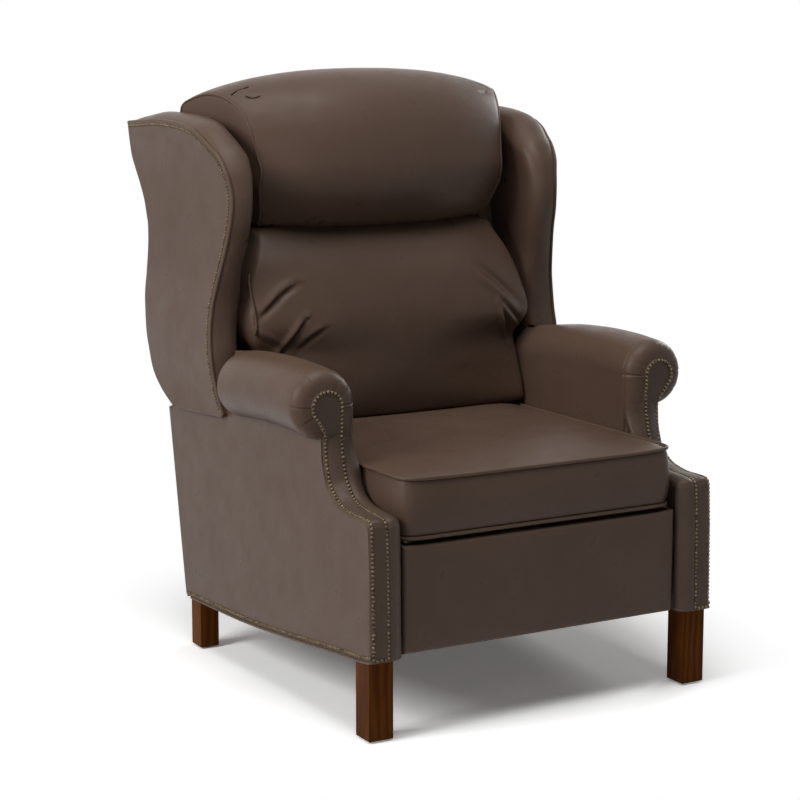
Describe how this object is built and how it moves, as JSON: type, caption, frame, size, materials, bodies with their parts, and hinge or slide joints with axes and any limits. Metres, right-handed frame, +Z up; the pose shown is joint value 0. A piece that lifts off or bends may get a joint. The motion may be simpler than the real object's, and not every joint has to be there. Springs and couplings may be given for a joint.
{
  "type": "wingback recliner",
  "caption": "Push-back wingback recliner with rolled arms, boxed seat cushion, pillow back and head bolster; the back reclines with a gliding seat and a lazy-tong footrest opens in front.",
  "frame": {"origin": "on the floor, in the middle of the overall width and depth", "axes": "+Z up, the seat faces -Y, +X towards the chair's left arm as its sitter has it"},
  "size_m": [0.828, 0.94, 1.122],
  "materials": {
    "leather": "satin taupe-brown leather with a soft sheen",
    "leather_facing": "taupe-brown leather drawn flat over the arm front",
    "mahogany": "reddish-brown mahogany stain under satin lacquer",
    "beech": "planed beech, unfinished",
    "steel": "black lacquered steel mechanism",
    "nylon": "black nylon"
  },
  "bodies": {
    "base": {"leg_front_left": "mahogany", "leg_front_right": "mahogany", "leg_rear_left": "mahogany", "leg_rear_right": "mahogany", "leg_glides": "nylon", "side_left": "leather", "side_right": "leather", "arm_stump_left": "leather", "arm_stump_right": "leather", "arm_facing_left": "leather_facing", "arm_facing_right": "leather_facing", "arm_roll_left": "leather", "arm_roll_right": "leather", "arm_inside_left": "leather", "arm_inside_right": "leather", "rear_panel": "leather", "rear_rail": "beech", "front_stretcher": "beech", "glide_channel_left": "steel", "glide_channel_right": "steel", "pivot_plate_left": "steel", "pivot_plate_right": "steel"},
    "seat": {"seat_rail_left": "beech", "seat_rail_right": "beech", "seat_cross_rails": "beech", "seat_deck": "beech", "seat_cushion": "leather", "drive_plate_left": "steel", "drive_plate_right": "steel", "tong_plate_left": "steel", "tong_plate_right": "steel"},
    "back": {"back_post_left": "beech", "back_post_right": "beech", "back_rails": "beech", "back_bracket_left": "steel", "back_bracket_right": "steel", "outside_back": "leather", "back_crest": "leather", "wing_shell_left": "leather", "wing_shell_right": "leather", "wing_pad_left": "leather", "wing_pad_right": "leather", "back_cushion": "leather", "head_bolster": "leather"},
    "rear_rise": {"rear_rise_bar_left": "steel", "rear_rise_bar_right": "steel", "tong_tube": "steel"},
    "rear_fall": {"rear_fall_bar_left": "steel", "rear_fall_bar_right": "steel"},
    "front_rise": {"front_rise_bar_left": "steel", "front_rise_bar_right": "steel"},
    "front_fall": {"front_fall_bar_left": "steel", "front_fall_bar_right": "steel"},
    "panel_links": {"panel_link_left": "steel", "panel_link_right": "steel"},
    "footrest": {"footrest_panel": "leather", "panel_bracket_left": "steel", "panel_bracket_right": "steel"}
  },
  "joints": [
    {"name": "back_recline", "type": "hinge", "parent": "base", "child": "back", "pos_m": [0, 0.194, 0.47], "axis": [-1, 0, 0], "range_deg": [0, 30]},
    {"name": "seat_glide", "type": "slide", "parent": "base", "child": "seat", "axis": [0, -1, 0], "range_m": [0, 0.0612]},
    {"name": "footrest_extend", "type": "hinge", "parent": "seat", "child": "rear_rise", "pos_m": [0, -0.362, 0.164], "axis": [1, 0, 0], "range_deg": [0, 46]},
    {"name": "rear_cross", "type": "hinge", "parent": "rear_rise", "child": "rear_fall", "pos_m": [0, -0.36483, 0.24495], "axis": [1, 0, 0], "range_deg": [-134.1, 0]},
    {"name": "rear_top", "type": "hinge", "parent": "rear_rise", "child": "front_fall", "pos_m": [0, -0.36765, 0.3259], "axis": [1, 0, 0], "range_deg": [-134.1, 0]},
    {"name": "rear_foot", "type": "hinge", "parent": "rear_fall", "child": "front_rise", "pos_m": [0, -0.37889, 0.16518], "axis": [1, 0, 0], "range_deg": [0, 134.1]},
    {"name": "panel_top_pivot", "type": "hinge", "parent": "front_rise", "child": "footrest", "pos_m": [0, -0.38455, 0.32708], "axis": [1, 0, 0], "range_deg": [-134.1, 0]},
    {"name": "panel_link_foot", "type": "hinge", "parent": "front_fall", "child": "panel_links", "pos_m": [0, -0.39578, 0.16636], "axis": [1, 0, 0], "range_deg": [0, 134.1]}
  ],
  "couplings": [
    {"joint": "seat_glide", "follows": "back_recline", "m_per_rad": 0.1165},
    {"joint": "rear_cross", "follows": "footrest_extend", "ratio": -2.913},
    {"joint": "rear_top", "follows": "footrest_extend", "ratio": -2.913},
    {"joint": "rear_foot", "follows": "footrest_extend", "ratio": 2.913},
    {"joint": "panel_top_pivot", "follows": "footrest_extend", "ratio": -2.913},
    {"joint": "panel_link_foot", "follows": "footrest_extend", "ratio": 2.913}
  ]
}
